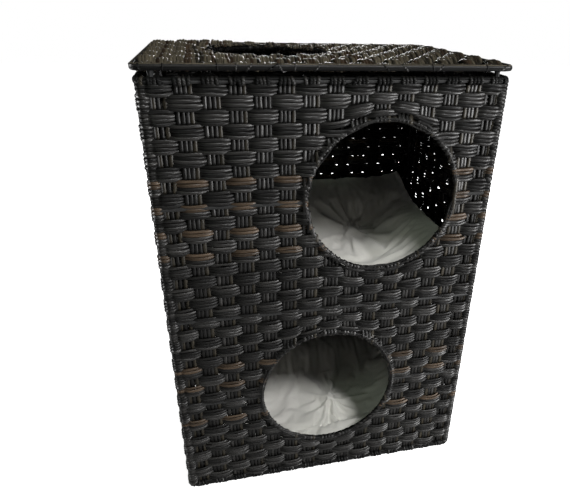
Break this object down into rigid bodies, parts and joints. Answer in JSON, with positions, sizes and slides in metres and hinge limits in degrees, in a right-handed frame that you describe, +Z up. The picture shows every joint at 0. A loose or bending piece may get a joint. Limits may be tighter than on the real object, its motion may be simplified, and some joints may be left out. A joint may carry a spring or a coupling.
{
  "type": "wicker pet house",
  "caption": "Tall woven wicker pet house with round front doors, a hinged lid with a round opening, and a soft cushion on each level.",
  "frame": {"origin": "on the ground, under the centre of the house", "axes": "+Z up along the height; -Y out of the front wall with the round doors; +X to the right as seen from the front"},
  "size_m": [0.4672, 0.3213, 0.6653],
  "materials": {
    "frame_wire": "satin black coated wire",
    "wicker": "half-round ribbed resin strand, charcoal with brown strands, satin sheen",
    "lid_wicker": "half-round ribbed resin strand, olive brown and charcoal, satin sheen",
    "rubber": "moulded black rubber",
    "cushion_cloth": "soft off-white brushed cloth",
    "cushion_filling": "white polyester fibre",
    "zip": "off-white coil zip on woven tape"
  },
  "bodies": {
    "house": {"back_left_glide": "rubber", "back_left_post": "frame_wire", "back_right_glide": "rubber", "back_right_post": "frame_wire", "back_weave": "wicker", "bottom_rim_binding": "wicker", "bottom_rim_wire": "frame_wire", "floor_cross_bar_left": "frame_wire", "floor_cross_bar_right": "frame_wire", "floor_weave": "wicker", "front_left_glide": "rubber", "front_left_post": "frame_wire", "front_right_glide": "rubber", "front_right_post": "frame_wire", "front_weave": "wicker", "hinge_lashing_left": "wicker", "hinge_lashing_right": "wicker", "left_weave": "wicker", "lid_bumper_left": "rubber", "lid_bumper_right": "rubber", "lower_door_binding": "wicker", "lower_door_ring": "frame_wire", "lower_door_tie_left": "frame_wire", "lower_door_tie_right": "frame_wire", "right_weave": "wicker", "shelf_back_bar": "frame_wire", "shelf_cross_bar_left": "frame_wire", "shelf_cross_bar_right": "frame_wire", "shelf_front_bar": "frame_wire", "shelf_left_bar": "frame_wire", "shelf_right_bar": "frame_wire", "shelf_weave": "wicker", "top_rim_binding": "wicker", "top_rim_wire": "frame_wire", "upper_door_binding": "wicker", "upper_door_ring": "frame_wire", "upper_door_tie_left": "frame_wire", "upper_door_tie_right": "frame_wire"},
    "lid": {"lid_cross_bar": "frame_wire", "lid_opening_binding": "lid_wicker", "lid_opening_ring": "frame_wire", "lid_rim_binding": "lid_wicker", "lid_rim_wire": "frame_wire", "lid_tie_left": "frame_wire", "lid_tie_right": "frame_wire", "lid_weave": "lid_wicker"},
    "upper_cushion": {"upper_cushion_cover": "cushion_cloth", "upper_cushion_filling": "cushion_filling", "upper_cushion_zip": "zip"},
    "lower_cushion": {"lower_cushion_cover": "cushion_cloth", "lower_cushion_filling": "cushion_filling", "lower_cushion_zip": "zip"}
  },
  "joints": [
    {"name": "lid_hinge", "type": "hinge", "parent": "house", "child": "lid", "pos_m": [0, 0.1558, 0.6606], "axis": [-1, 0, 0], "range_deg": [0, 105]},
    {"name": "upper_cushion_lift", "type": "slide", "parent": "house", "child": "upper_cushion", "axis": [0, 0, 1], "range_m": [0, 0.2]},
    {"name": "lower_cushion_lift", "type": "slide", "parent": "house", "child": "lower_cushion", "axis": [0, 0, 1], "range_m": [0, 0.2]}
  ]
}
